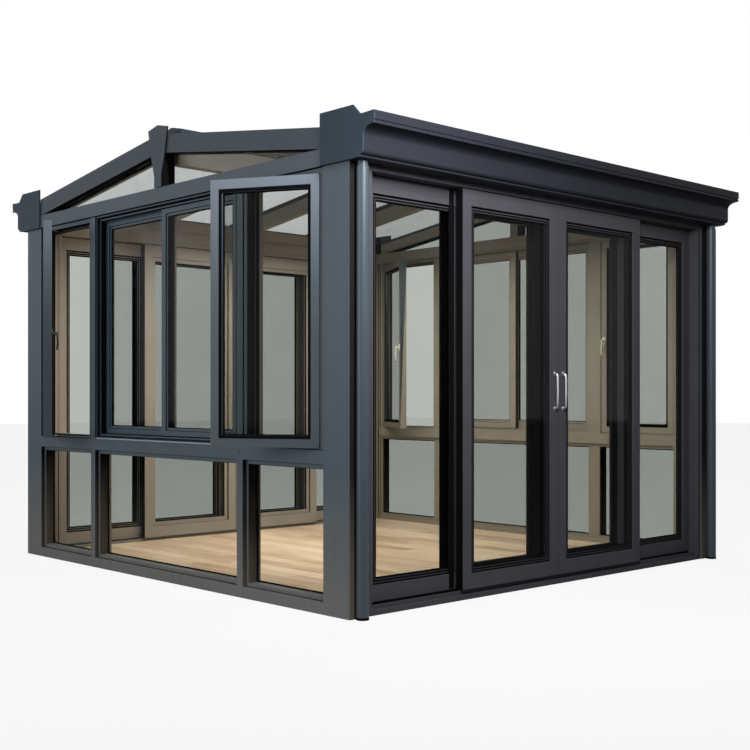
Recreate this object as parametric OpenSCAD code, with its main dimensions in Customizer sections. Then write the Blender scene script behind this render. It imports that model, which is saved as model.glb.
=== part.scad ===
// Aluminium conservatory with two glazed gable walls, two sliding door walls and a glass roof.
// The origin is the centre of the footprint on the ground, and the front doors face -Y.

/* [Plan] */
// Length of the door walls, from gable face to gable face
wall_l = 3460; // [3000:10:4200]
// Length of the gable walls, from door face to door face
wall_d = 3530; // [3200:10:4200]
// Thickness of the gable walls, and width of a corner post on the door side
gable_t = 130; // [120:5:160]
// Width of a corner post on the gable side
post_w = 208; // [180:2:260]
// Height of the corner posts
post_h = 2355; // [2200:5:2600]
// Hairline left between neighbouring pieces
joint = 0.3; // [0.2:0.1:0.5]

/* [Gable walls] */
// Height of the bottom rail
bottom_rail_h = 64; // [50:2:90]
// Height of the top of the sill rail
sill_top = 862; // [780:2:950]
// Depth of the sill rail's face
sill_h = 74; // [60:2:90]
// Depth of the head beam's face
head_h = 90; // [70:2:120]
// Width of a mullion's face
mullion_w = 55; // [45:5:80]
// Width of the middle bay
middle_bay = 1594; // [1200:2:1800]
// How far the head beams and gable rafters stand proud of the posts
gable_proud = 10; // [4:1:16]
// Width of each step of the stepped window frames
frame_step = 18; // [12:1:24]
// Depth from the wall face to the first step of a window frame
frame_inset = 8; // [5:1:20]

/* [Windows] */
// Face of a window sash, without its glazing bead
sash_face = 46; // [35:1:60]
// Width of the glazing bead on a window sash
sash_bead = 18; // [10:1:25]
// Thickness of a sliding sash
slider_t = 32; // [28:1:36]
// Thickness of a casement sash
casement_t = 55; // [45:1:60]
// Angle at which the front outward casement stands open
casement_out = 29; // [10:0.5:32]
// Angle at which the rear outward casement stands open
casement_far = 27.5; // [10:0.5:32]
// Angle at which the inward casement stands open
casement_in = 30; // [10:0.5:32]
// Thickness of the wall glass
glass_t = 16; // [12:1:20]
// Face of the thin frame round a fixed lower pane
low_frame = 24; // [18:1:32]
// Depth from the wall face to that frame
low_set = 24; // [16:1:36]
// Face of a casement's surround at its sides
case_side = 35; // [30:1:45]
// Face of a casement's surround at its top
case_top = 31; // [26:1:40]
// Length of the arm of a casement's stay
stay_l = 125; // [122:1:140]
// Length of a window lever's grip
lever_l = 122; // [100:2:140]
// Width of a window lever's grip
lever_w = 18; // [14:1:22]

/* [Doors] */
// Face of the door frame's side jambs
jamb_w = 35; // [30:1:50]
// Height of the threshold's base plate
sill_plate = 28; // [20:1:36]
// Height of the top of the door tracks
track_top = 50; // [44:1:60]
// Depth of the door frame's head
door_head = 30; // [25:1:50]
// Width of a sliding leaf
leaf_w = 861; // [780:1:920]
// Thickness of a leaf
leaf_t = 50; // [44:1:54]
// Width of a stile's face
stile_w = 72; // [60:1:90]
// Height of the top rail's face
top_rail = 92; // [70:1:110]
// Height of the bottom rail's face
low_rail = 86; // [70:1:110]
// Width of the glazing bead round the door glass
door_bead = 30; // [20:1:36]
// Setback of the bead behind the leaf's face
bead_set = 15; // [8:1:15]
// Thickness of the door glass
door_glass_t = 18; // [14:1:19]
// Running clearance round a sliding leaf
run_gap = 6; // [5:0.5:8]
// Length of a pull handle
pull_l = 214; // [160:2:300]
// Diameter of a pull handle's bar
pull_d = 14; // [10:1:18]
// Height of the middle of the pull handles
pull_z = 1180; // [1000:10:1250]

/* [Roof] */
// Rise of the roof for each millimetre of run
pitch = 0.1395; // [0.1:0.005:0.2]
// Rise of the gable rafter's top over the posts, at the gutter
rafter_rise = 203.6; // [195:0.2:215]
// Depth of a gable rafter's face, measured upright
rafter_h = 115; // [90:5:130]
// Width of an inner rafter
rafter_w = 60; // [50:2:80]
// Number of roof bays along the ridge
roof_bays = 4; // [3:1:5]
// Thickness of the roof glass
roof_glass_t = 22; // [18:1:26]
// Width of the ridge beam and of the king posts
ridge_w = 80; // [70:2:100]
// Depth of the ridge beam
ridge_h = 140; // [120:5:180]
// Half the width of the ridge cap
cap_half = 108; // [90:2:130]
// Rise of the ridge cap over the gable rafters
cap_rise = 55; // [45:1:70]

/* [Gutter] */
// Width of the gutter trough over the wall
trough_w = 228; // [180:2:240]
// Rise of the gutter's rim over the posts
rim_rise = 273; // [265:1:281]
// How far the moulded front stands out from the door wall
crown_out = 203.5; // [190:0.5:220]
// Diameter of a rainwater pipe
pipe_d = 66; // [60:1:80]
// Distance from the corner to the middle of a rainwater pipe
pipe_u = 59.5; // [50:0.5:64]
// Gap under the soffit, in which a narrower neck joins the pipe to the gutter
neck_h = 28; // [20:1:40]
// Diameter of that neck
neck_d = 56; // [45:1:60]

/* [Floor] */
// Thickness of the floor
floor_t = 35; // [25:1:45]

/* [Hidden] */
$fn = 36;

mid = wall_d / 2;
head_top = post_h + head_h;
bay_z = sill_top;
bay_h = post_h - sill_top;
mullion_a = mid - middle_bay / 2 - mullion_w;
mullion_b = mid + middle_bay / 2;
side_bay = mullion_a - post_w;
low_bay_h = sill_top - sill_h - bottom_rail_h;
mullion_set = 20;
mullion_t = gable_t - mullion_set;
leaf_z = track_top + run_gap;
leaf_top = post_h - door_head - run_gap;
leaf_h = leaf_top - leaf_z;
outer_d = 12;
track_gap = 18;
inner_d = outer_d + leaf_t + track_gap;
screen_d = inner_d + leaf_t + track_gap;
frame_d = 8;
frame_t = screen_d + leaf_t;
track_t = 8;
stile_lap = 14;
shoe_l = 60;
shoe_t = 16;
door_mid = wall_l / 2;
jamb_in = gable_t + jamb_w;
leaf_gap = 5;
fixed_w = door_mid - leaf_gap / 2 - leaf_w - jamb_in + stile_w + stile_lap;
grip_stand = 26;
grip_post_d = 10;
grip_set = 33;

// Casement windows: the lower edge of the surround, the stop and the clearance round a sash
case_low = 8;
stop_w = 14;
case_gap = 3;
casement_w = side_bay - 2 * case_side - 2 * case_gap;
casement_h = bay_h - case_top - case_low - 2 * case_gap;
casement_z = bay_z + case_low + case_gap;
casement_head = sash_face + 6;
casement_bead_set = 8;

// Sliding windows: the sashes meet in the middle of the bay, on two tracks
slider_edge = frame_step + 6;
slider_w = middle_bay / 2 - slider_edge + (sash_face + sash_bead) / 2;
slider_h = bay_h - 2 * slider_edge;
slider_z = bay_z + slider_edge;
slider_gap = 4;
slider_bead_set = 6;
lip_t = 4;
slider_outer = frame_inset + frame_step + lip_t + joint;
slider_inner = slider_outer + slider_t + slider_gap;
rail_t = 6;
rail_h = slider_edge - frame_step - 3 * joint;

// Casement stays lie in the clearance under and over a sash. Distances run from the hinge,
// and depths from the face at which the sash turns.
stay_t = case_gap - 3 * joint;
stay_w = 14;
stay_at = 190;
stay_in = 25;
stay_foot = 40;
pivot_d = 18;
pivot_at = 14;
pivot_in = 36;
stay_facets = 16;

// Window levers: rose plate, neck and grip
rose_l = 64;
rose_w = 26;
rose_t = 8;
neck_l = 20;
grip_t = 13;
lever_at = 0.48;

// Gutter, its moulded front and the end plates
rafter_eave = post_h + rafter_rise;
rim_z = post_h + rim_rise;
plate_t = 10;
gutter_wall = 5;
trough_z = head_top + 20;
trough_in = post_w + 5.5;
pipe_o = pipe_d / 2 + joint;

// The moulded front, from its lip down to the soffit: lip, groove, bead, cove, fascia, ovolo and foot bead
lip_top = rim_z - 51;
groove_top = lip_top - 45;
groove_h = 9;
groove_in = crown_out - 6;
bead_h = 11;
bead_out = crown_out - 1.5;
cove_top = groove_top - groove_h - bead_h;
cove_out = crown_out - 8;
cove_h = 43;
fascia = 120;
ovolo_in = fascia - 29;
ovolo_h = 20;
foot_out = fascia - 24;
foot_h = 14;
foot_low = 4;
soffit_out = 50;
crown = concat(
    [[crown_out, lip_top],
    [crown_out, groove_top],
    [groove_in, groove_top],
    [groove_in, groove_top - groove_h],
    [bead_out, groove_top - groove_h],
    [bead_out, cove_top]],
    arc(cove_out, cove_top - cove_h, cove_out - fascia, cove_h, 90, 180, 8),
    arc(ovolo_in, post_h + foot_h + ovolo_h, fascia - ovolo_in, ovolo_h, 0, -90, 4),
    [[foot_out, post_h + foot_h],
    [foot_out, post_h + foot_low],
    [soffit_out, post_h],
    [0, post_h]]);

// The end plates rise over the gutter to the rim, and fall to a notch behind the lip
plate_shoulder = 46;
notch_out = crown_out / 2;
notch_z = lip_top - 5;

// Gable trusses, with a ledge for the roof glass
truss_t = 80;
ledge_t = 30;
glass_seat = 32;
king_side = rafter_top(mid - ridge_w / 2) - rafter_h - head_top - 3 * joint;
cap_top = rafter_top(mid) + cap_rise;
cap_edge = cap_top - 23;
face_neck = 75;
face_flare = 73;
face_break = 188;

// Clear length of the roof between the gable trusses
roof_in = truss_t + ledge_t - 1 + joint;
roof_run = wall_l - 2 * roof_in;
bay_w = roof_run / roof_bays;
rafter_foot = trough_in + joint;
rafter_drop = 100;
glass_foot = trough_in - 60;
glass_run = wall_l - 2 * truss_t - 2 * joint;
cap_over = 2 * joint + roof_glass_t;
cap_t = 12;

// Points of an arc of an ellipse
function arc(cx, cy, rx, ry, from, to, steps) =
    [for (i = [0 : steps]) let (a = from + (to - from) * i / steps)
        [cx + rx * cos(a), cy + ry * sin(a)]];

// Height of the gable rafters' top edge at a distance along the gable wall
function rafter_top(s) = rafter_eave + pitch * (min(s, wall_d - s) - trough_in);

// Places a shape drawn along the left gable wall, where x is the distance from the front corner,
// y is the height and z is the depth behind the wall's face.
module on_left() {
    translate([-wall_l / 2, -wall_d / 2, 0]) rotate([90, 0, 90]) children();
}

module on_right() {
    mirror([1, 0, 0]) on_left() children();
}

// Places a shape drawn along the front wall, where x is the distance from the left corner.
module on_front() {
    translate([-wall_l / 2, -wall_d / 2, 0]) rotate([90, 0, 0]) mirror([0, 0, 1]) children();
}

module on_rear() {
    mirror([0, 1, 0]) on_front() children();
}

// Mirrors a shape to the other half of a wall and keeps the first one
module both_halves(length) {
    children();
    translate([length, 0, 0]) mirror([1, 0, 0]) children();
}

// Flat outline of a frame, with its own face width on each side
module frame_outline(w, h, side, top, bottom) {
    difference() {
        square([w, h]);
        translate([side, bottom]) square([w - 2 * side, h - top - bottom]);
    }
}

// Hairline cut from an outer corner of a frame to the inner corner
module mitre_cut(x, y, dx, dy) {
    reach = norm([dx, dy]);
    translate([x, y, 0]) rotate([0, 0, atan2(dy, dx)])
        translate([-reach, -joint / 2, -1]) cube([3 * reach, joint, gable_t + 1]);
}

module mitre_cuts(w, h, side, top, bottom) {
    mitre_cut(0, 0, side, bottom);
    mitre_cut(w, 0, -side, bottom);
    mitre_cut(0, h, side, -top);
    mitre_cut(w, h, -side, -top);
}

// Frame of four mitred profiles. The bead is set back from both faces.
module beaded_frame(w, h, t, side, top, bottom, bead, setback) {
    difference() {
        union() {
            linear_extrude(t) frame_outline(w, h, side, top, bottom);
            translate([0, 0, setback])
                linear_extrude(t - 2 * setback)
                frame_outline(w, h, side + bead, top + bead, bottom + bead);
        }
        mitre_cuts(w, h, side + bead, top + bead, bottom + bead);
    }
}

// Pane that fills a beaded frame
module beaded_pane(w, h, t, side, top, bottom, bead, pane_t) {
    edge = side + bead + joint;
    translate([edge, bottom + bead + joint, (t - pane_t) / 2])
        cube([w - 2 * edge, h - top - bottom - 2 * bead - 2 * joint, pane_t]);
}

// Frame of a sliding window: a deep surround with a thin lip in front of the sashes
module stepped_frame(w, h, t) {
    lip = 2 * frame_step;
    difference() {
        union() {
            translate([0, 0, frame_inset])
                linear_extrude(t - frame_inset)
                frame_outline(w, h, frame_step, frame_step, frame_step);
            translate([0, 0, frame_inset + frame_step])
                linear_extrude(lip_t) frame_outline(w, h, lip, lip, lip);
        }
        mitre_cuts(w, h, lip, lip, lip);
    }
}

// Rails of a sliding window's tracks, one under and one over each sash
module track_rails(w, h) {
    for (d = [slider_outer, slider_inner], y = [frame_step + joint, h - frame_step - joint - rail_h])
        translate([2 * frame_step, y, d + (slider_t - rail_t) / 2])
        cube([w - 4 * frame_step, rail_h, rail_t]);
}

// Frame of a casement: a surround, and a stop that the closed sash meets
module casement_frame(stop_from, stop_to) {
    w = side_bay - 2 * joint;
    h = bay_h - 2 * joint;
    side = case_side - case_gap;
    difference() {
        union() {
            translate([0, 0, frame_inset]) linear_extrude(mullion_t - frame_inset)
                frame_outline(w, h, side, case_top, case_low);
            translate([0, 0, stop_from]) linear_extrude(stop_to - stop_from)
                frame_outline(w, h, side + stop_w, case_top + stop_w, case_low + stop_w);
        }
        mitre_cuts(w, h, side + stop_w, case_top + stop_w, case_low + stop_w);
    }
}

module floor() {
    edge_x = gable_t + joint;
    edge_y = frame_d + frame_t + joint;
    color("burlywood") translate([-wall_l / 2 + edge_x, -wall_d / 2 + edge_y, 0])
        cube([wall_l - 2 * edge_x, wall_d - 2 * edge_y, floor_t]);
}

module corner_post() {
    cube([gable_t - joint, post_w - joint, post_h - joint]);
}

module at_corners() {
    for (mx = [0, 1], my = [0, 1])
        mirror([mx, 0, 0]) mirror([0, my, 0]) translate([-wall_l / 2, -wall_d / 2, 0]) children();
}

module corner_posts() {
    color("slategray") at_corners() corner_post();
}

module eave_beams() {
    color("slategray") for (my = [0, 1])
        mirror([0, my, 0])
        translate([-wall_l / 2 + gable_t + joint, -wall_d / 2, post_h])
            cube([wall_l - 2 * (gable_t + joint), post_w, head_h - joint]);
}

module gable_rails() {
    color("slategray") {
        translate([post_w, 0, 0]) cube([wall_d - 2 * post_w, bottom_rail_h, gable_t]);
        translate([post_w, sill_top - sill_h, 0]) cube([wall_d - 2 * post_w, sill_h, gable_t]);
        translate([0, post_h, -gable_proud]) cube([wall_d, head_h, gable_t + gable_proud]);
    }
}

module gable_mullions() {
    color("slategray") for (s = [mullion_a, mullion_b]) {
        translate([s, bottom_rail_h + joint, 0])
            cube([mullion_w, low_bay_h - 2 * joint, mullion_t]);
        translate([s, bay_z + joint, 0])
            cube([mullion_w, bay_h - 2 * joint, mullion_t]);
    }
}

// Thin frame of a fixed lower pane, set deep in its bay
module low_fixed_frame(w) {
    translate([joint, bottom_rail_h + joint, low_set]) difference() {
        linear_extrude(mullion_t - low_set)
            frame_outline(w - 2 * joint, low_bay_h - 2 * joint, low_frame, low_frame, low_frame);
        mitre_cuts(w - 2 * joint, low_bay_h - 2 * joint, low_frame, low_frame, low_frame);
    }
}

// Window frames of one gable wall, with the casement stops at the given depths
module window_frames(stop_from, stop_to) {
    color("dimgray") {
        both_halves(wall_d) translate([post_w, 0, 0]) {
            low_fixed_frame(side_bay);
            translate([joint, bay_z + joint, 0]) casement_frame(stop_from, stop_to);
        }
        translate([mullion_a + mullion_w, 0, 0]) {
            low_fixed_frame(middle_bay);
            translate([joint, bay_z + joint, 0]) {
                stepped_frame(middle_bay - 2 * joint, bay_h - 2 * joint, mullion_t);
                track_rails(middle_bay - 2 * joint, bay_h - 2 * joint);
            }
        }
    }
}

module sliding_sash() {
    beaded_frame(slider_w, slider_h, slider_t, sash_face, sash_face, sash_face,
        sash_bead, slider_bead_set);
}

module sliding_pane() {
    beaded_pane(slider_w, slider_h, slider_t, sash_face, sash_face, sash_face, sash_bead, glass_t);
}

module at_outer_sash() {
    translate([mullion_a + mullion_w + slider_edge, slider_z, slider_outer]) children();
}

module at_inner_sash() {
    translate([mullion_b - slider_edge - slider_w, slider_z, slider_inner]) children();
}

module sliding_sashes() {
    color("dimgray") {
        at_outer_sash() sliding_sash();
        at_inner_sash() sliding_sash();
    }
}

// Casement sash, drawn closed with its hinge edge at x = 0 and its outer face at z = 0
module casement_sash() {
    beaded_frame(casement_w, casement_h, casement_t, sash_face, casement_head, sash_face,
        sash_bead, casement_bead_set);
}

module casement_pane() {
    beaded_pane(casement_w, casement_h, casement_t, sash_face, casement_head, sash_face,
        sash_bead, glass_t);
}

// Stands a casement at its hinge, open by an angle: outwards turns about the outer edge
module hung_outwards(angle) {
    translate([post_w + case_side, casement_z, 0]) rotate([0, angle, 0]) children();
}

module hung_inwards(angle) {
    translate([post_w + case_side, casement_z, mullion_t]) rotate([0, -angle, 0])
        translate([0, 0, -casement_t]) children();
}

// Plan of a casement's stay, open by an angle: a pivot plate near the hinge, and an arm
// from the surround to the sash
module stay_plan(angle) {
    end_x = stay_at * cos(angle) + stay_in * sin(angle);
    end_y = stay_in * cos(angle) - stay_at * sin(angle);
    foot_x = end_x - sqrt(pow(stay_l, 2) - pow(stay_foot - end_y, 2));
    rotate(-angle) translate([pivot_at, pivot_in]) circle(d = pivot_d, $fn = stay_facets);
    hull() {
        translate([foot_x, stay_foot]) circle(d = stay_w, $fn = stay_facets);
        translate([end_x, end_y]) circle(d = stay_w, $fn = stay_facets);
    }
}

// Stays under and over a sash. They are drawn for a sash that opens outwards.
module casement_stays(angle) {
    for (y = [-joint, casement_h + joint + stay_t])
        translate([post_w + case_side, casement_z + y, 0])
        rotate([90, 0, 0]) linear_extrude(stay_t) stay_plan(angle);
}

module inward_stays(angle) {
    translate([0, 0, mullion_t]) mirror([0, 0, 1]) casement_stays(angle);
}

// Upright bar with round ends, centred
module round_bar(length, width) {
    hull() for (y = [width / 2 - length / 2, length / 2 - width / 2])
        translate([0, y]) circle(d = width);
}

// Lever handle on the inner face of a casement's free stile
module window_lever() {
    translate([casement_w - sash_face / 2 - slider_gap, casement_h * lever_at, casement_t]) {
        translate([0, 0, joint]) linear_extrude(rose_t) round_bar(rose_l, rose_w);
        translate([0, 0, rose_t + 2 * joint]) cylinder(h = neck_l, d = lever_w);
        translate([0, (lever_w - lever_l) / 2, rose_t + neck_l + 3 * joint])
            linear_extrude(grip_t) round_bar(lever_l, lever_w);
    }
}

// Mirrors a shape to the rear end of a gable wall
module rear_end() {
    translate([wall_d, 0, 0]) mirror([1, 0, 0]) children();
}

module left_hung() {
    hung_outwards(casement_out) children();
    rear_end() hung_outwards(casement_far) children();
}

module right_hung() {
    hung_inwards(0) children();
    rear_end() hung_inwards(casement_in) children();
}

// Gable rafters with a ledge behind them for the roof glass, and the king post between them
module rafter_outline(top_drop) {
    foot = trough_in + joint;
    polygon([
        [foot, head_top + joint],
        [foot, rafter_top(foot) - top_drop],
        [mid, rafter_top(mid) - top_drop],
        [wall_d - foot, rafter_top(foot) - top_drop],
        [wall_d - foot, head_top + joint],
        [wall_d - foot - 8, head_top + joint],
        [mid, rafter_top(mid) - rafter_h],
        [foot + 8, head_top + joint]]);
}

module gable_truss() {
    color("slategray") {
        difference() {
            union() {
                translate([0, 0, -gable_proud])
                    linear_extrude(gable_proud + truss_t) rafter_outline(0);
                translate([0, 0, truss_t - 1]) linear_extrude(ledge_t) rafter_outline(glass_seat);
            }
            translate([mid - joint / 2, head_top, -gable_proud - 1])
                cube([joint, wall_d, gable_proud + truss_t + ledge_t + 1]);
        }
        translate([mid - ridge_w / 2, head_top + joint, 0])
            linear_extrude(truss_t) polygon([
                [0, 0],
                [ridge_w, 0],
                [ridge_w, king_side],
                [ridge_w / 2, king_side + pitch * ridge_w / 2],
                [0, king_side]]);
        translate([mid, 0, -gable_proud - plate_t]) linear_extrude(plate_t - joint) ridge_face();
    }
}

// Face plate over the king post, which widens towards the ridge
module ridge_face() {
    polygon([
        [-ridge_w / 2, head_top + joint],
        [ridge_w / 2, head_top + joint],
        [ridge_w / 2, head_top + face_neck],
        [face_flare, head_top + face_break],
        [cap_half, cap_edge],
        [0, cap_top],
        [-cap_half, cap_edge],
        [-face_flare, head_top + face_break],
        [-ridge_w / 2, head_top + face_neck]]);
}

// Triangular panes between the head beam, the rafters and the king post
module gable_panes() {
    foot = trough_in + 60;
    lift = head_top + 2 * joint;
    both_halves(wall_d) translate([0, 0, truss_t / 2 - glass_t / 2]) linear_extrude(glass_t)
        polygon([
            [foot, lift],
            [mid - ridge_w / 2 - joint, lift],
            [mid - ridge_w / 2 - joint, rafter_top(mid - ridge_w / 2) - rafter_h - 3 * joint],
            [foot, rafter_top(foot) - rafter_h - 3 * joint]]);
}

module low_pane(s, w) {
    edge = low_frame + 2 * joint;
    translate([s + edge, bottom_rail_h + edge, mullion_t - glass_t - 6])
        cube([w - 2 * edge, low_bay_h - 2 * edge, glass_t]);
}

module fixed_gable_glass() {
    both_halves(wall_d) low_pane(post_w, side_bay);
    low_pane(mullion_a + mullion_w, middle_bay);
    at_outer_sash() sliding_pane();
    at_inner_sash() sliding_pane();
    gable_panes();
}

module left_rails() { on_left() gable_rails(); }
module left_mullions() { on_left() gable_mullions(); }
module left_window_frames() { on_left() window_frames(casement_t + 5, mullion_t); }
module left_sliding_sashes() { on_left() sliding_sashes(); }
module left_casements() {
    color("gray") on_left() {
        left_hung() casement_sash();
        casement_stays(casement_out);
        rear_end() casement_stays(casement_far);
    }
}
module left_window_handles() { color("ivory") on_left() left_hung() window_lever(); }
module left_gable_truss() { on_left() gable_truss(); }
module left_glass() {
    color("lightblue", 0.4) on_left() {
        fixed_gable_glass();
        left_hung() casement_pane();
    }
}

module right_rails() { on_right() gable_rails(); }
module right_mullions() { on_right() gable_mullions(); }
module right_window_frames() { on_right() window_frames(frame_inset, mullion_t - casement_t - 1); }
module right_sliding_sashes() { on_right() sliding_sashes(); }
module right_casements() {
    color("gray") on_right() {
        right_hung() casement_sash();
        inward_stays(0);
        rear_end() inward_stays(casement_in);
    }
}
module right_window_handles() { color("ivory") on_right() right_hung() window_lever(); }
module right_gable_truss() { on_right() gable_truss(); }
module right_glass() {
    color("lightblue", 0.4) on_right() {
        fixed_gable_glass();
        right_hung() casement_pane();
    }
}

// Door frame: two jambs, a head and a threshold with three tracks
module door_frame() {
    span = wall_l - 2 * jamb_in;
    color("dimgray") {
        both_halves(wall_l) translate([gable_t, 0, frame_d])
            cube([jamb_w - joint, post_h - joint, frame_t]);
        translate([jamb_in, post_h - door_head, frame_d])
            cube([span, door_head - joint, frame_t]);
        translate([jamb_in, 0, frame_d]) cube([span, sill_plate, frame_t]);
        for (d = [outer_d, inner_d, screen_d])
            translate([jamb_in, 1, d + (leaf_t - track_t) / 2])
                cube([span, track_top - 1, track_t]);
    }
}

// One glazed leaf, drawn from its lower left corner, with two roller shoes under it
module leaf(w) {
    color("dimgray") {
        beaded_frame(w, leaf_h, leaf_t, stile_w, top_rail, low_rail, door_bead, bead_set);
        for (x = [w * 0.2, w * 0.8 - shoe_l])
            translate([x, joint - run_gap, (leaf_t - shoe_t) / 2])
            cube([shoe_l, run_gap + stile_lap, shoe_t]);
    }
}

module leaf_pane(w) {
    color("lightblue", 0.4)
        beaded_pane(w, leaf_h, leaf_t, stile_w, top_rail, low_rail, door_bead, door_glass_t);
}

module at_fixed_leaf() {
    translate([jamb_in + joint, leaf_z, inner_d]) children();
}

module at_moving_leaf() {
    translate([door_mid - leaf_gap / 2 - leaf_w, leaf_z, outer_d]) children();
}

// The screens stand behind the moving leaves, on the innermost track
module at_screen() {
    translate([door_mid - leaf_gap / 2 - leaf_w, leaf_z, screen_d]) children();
}

// Pull handles on both faces of the meeting stile, each a bar on two short posts
module pull_handle() {
    bar_z = grip_stand + pull_d / 2;
    color("silver") translate([leaf_w - grip_set, pull_z - leaf_z, 0]) {
        for (z = [-bar_z, leaf_t + bar_z])
            translate([0, -pull_l / 2, z]) rotate([-90, 0, 0]) cylinder(h = pull_l, d = pull_d);
        for (y = [-pull_l * 0.3, pull_l * 0.3], z = [joint - grip_stand, leaf_t])
            translate([0, y, z]) cylinder(h = grip_stand - joint, d = grip_post_d);
    }
}

module fixed_leaves() { both_halves(wall_l) at_fixed_leaf() leaf(fixed_w); }
module fixed_panes() { both_halves(wall_l) at_fixed_leaf() leaf_pane(fixed_w); }

// The right leaf of a pair is the left one, mirrored
module other_leaf() {
    translate([wall_l, 0, 0]) mirror([1, 0, 0]) children();
}

module front_door_frame() { on_front() door_frame(); }
module front_fixed_leaves() { on_front() fixed_leaves(); }
module front_fixed_glass() { on_front() fixed_panes(); }
module front_left_leaf() { on_front() at_moving_leaf() leaf(leaf_w); }
module front_left_leaf_glass() { on_front() at_moving_leaf() leaf_pane(leaf_w); }
module front_left_pull() { on_front() at_moving_leaf() pull_handle(); }
module front_right_leaf() { on_front() other_leaf() at_moving_leaf() leaf(leaf_w); }
module front_right_leaf_glass() { on_front() other_leaf() at_moving_leaf() leaf_pane(leaf_w); }
module front_right_pull() { on_front() other_leaf() at_moving_leaf() pull_handle(); }
module front_left_screen() { on_front() at_screen() leaf(leaf_w); }
module front_right_screen() { on_front() other_leaf() at_screen() leaf(leaf_w); }

module rear_door_frame() { on_rear() door_frame(); }
module rear_fixed_leaves() { on_rear() fixed_leaves(); }
module rear_fixed_glass() { on_rear() fixed_panes(); }
module rear_left_leaf() { on_rear() at_moving_leaf() leaf(leaf_w); }
module rear_left_leaf_glass() { on_rear() at_moving_leaf() leaf_pane(leaf_w); }
module rear_left_pull() { on_rear() at_moving_leaf() pull_handle(); }
module rear_right_leaf() { on_rear() other_leaf() at_moving_leaf() leaf(leaf_w); }
module rear_right_leaf_glass() { on_rear() other_leaf() at_moving_leaf() leaf_pane(leaf_w); }
module rear_right_pull() { on_rear() other_leaf() at_moving_leaf() pull_handle(); }
module rear_left_screen() { on_rear() at_screen() leaf(leaf_w); }
module rear_right_screen() { on_rear() other_leaf() at_screen() leaf(leaf_w); }

module ridge_beam() {
    side = rafter_top(mid - ridge_w / 2) - glass_seat;
    color("slategray") on_left() translate([mid - ridge_w / 2, side - ridge_h, roof_in])
        linear_extrude(roof_run) polygon([
            [0, 0],
            [ridge_w, 0],
            [ridge_w, ridge_h],
            [ridge_w / 2, ridge_h + pitch * ridge_w / 2],
            [0, ridge_h]]);
}

// Side outline of a sloping piece, a height above the rafters' seat for the glass
module sloping_outline(from, to, low, high) {
    polygon([
        [from, rafter_top(from) - glass_seat + low],
        [to, rafter_top(to) - glass_seat + low],
        [to, rafter_top(to) - glass_seat + high],
        [from, rafter_top(from) - glass_seat + high]]);
}

module roof_rafters() {
    color("slategray") on_left() both_halves(wall_d) for (i = [1 : roof_bays - 1])
        translate([0, 0, roof_in + i * bay_w - rafter_w / 2]) linear_extrude(rafter_w)
            intersection() {
                sloping_outline(rafter_foot, mid - ridge_w / 2 - joint, -rafter_drop, 0);
                translate([0, head_top + joint]) square([wall_d, wall_d]);
            }
}

module roof_glass() {
    color("lightblue", 0.4) on_left() both_halves(wall_d) for (i = [0 : roof_bays - 1])
        translate([0, 0, truss_t + joint + i * glass_run / roof_bays])
            linear_extrude(glass_run / roof_bays - slider_gap)
            sloping_outline(glass_foot, mid - slider_gap, joint, joint + roof_glass_t);
}

// Ridge cap with its drip edges, and the glazing caps over the inner rafters
module roof_caps() {
    under = cap_over - glass_seat;
    color("slategray") on_left() {
        translate([mid, 0, truss_t + joint]) linear_extrude(glass_run)
            polygon([
                [-cap_half, rafter_top(mid - cap_half) + under],
                [0, rafter_top(mid) + under],
                [cap_half, rafter_top(mid - cap_half) + under],
                [cap_half, cap_edge],
                [0, cap_top],
                [-cap_half, cap_edge]]);
        both_halves(wall_d) for (i = [1 : roof_bays - 1])
            translate([0, 0, roof_in + i * bay_w - rafter_w / 2]) linear_extrude(rafter_w)
                sloping_outline(glass_foot, mid - cap_half - joint, cap_over, cap_over + cap_t);
    }
}

// Gutter section, where x runs outwards from the door wall's face
module gutter_section() {
    trough_out = trough_w - (trough_in - gutter_wall);
    seat_z = rafter_top(trough_in - gutter_wall) - glass_seat;
    polygon(concat(
        [[-trough_in, head_top],
        [-trough_in, seat_z],
        [-trough_in + gutter_wall, seat_z],
        [-trough_in + gutter_wall, trough_z],
        [trough_out, trough_z],
        [trough_out, lip_top]],
        crown,
        [[0, head_top]]));
}

module gutter() {
    color("slategray") translate([0, -wall_d / 2, 0]) mirror([0, 1, 0]) rotate([90, 0, 90])
        translate([0, 0, -wall_l / 2 - gable_proud])
        linear_extrude(wall_l + 2 * gable_proud) gutter_section();
}

module front_gutter() { gutter(); }
module rear_gutter() { mirror([0, 1, 0]) gutter(); }

// Flat plates that close the gutter ends and rise over them to the rim
module gutter_end_plates() {
    color("slategray") for (mx = [0, 1], my = [0, 1])
        mirror([mx, 0, 0]) mirror([0, my, 0])
        translate([-wall_l / 2 - gable_proud - plate_t, -wall_d / 2, 0])
        mirror([0, 1, 0]) rotate([90, 0, 90]) linear_extrude(plate_t - joint)
        polygon(concat(
            [[-trough_in, post_h],
            [-trough_in, rim_z],
            [plate_shoulder, rim_z],
            [notch_out, notch_z]],
            crown));
}

module rainwater_pipes() {
    color("slategray") at_corners() translate([pipe_u, -pipe_o, 0]) {
        cylinder(h = post_h - neck_h, d = pipe_d);
        translate([0, 0, post_h - neck_h + joint]) cylinder(h = neck_h - 2 * joint, d = neck_d);
    }
}

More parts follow.
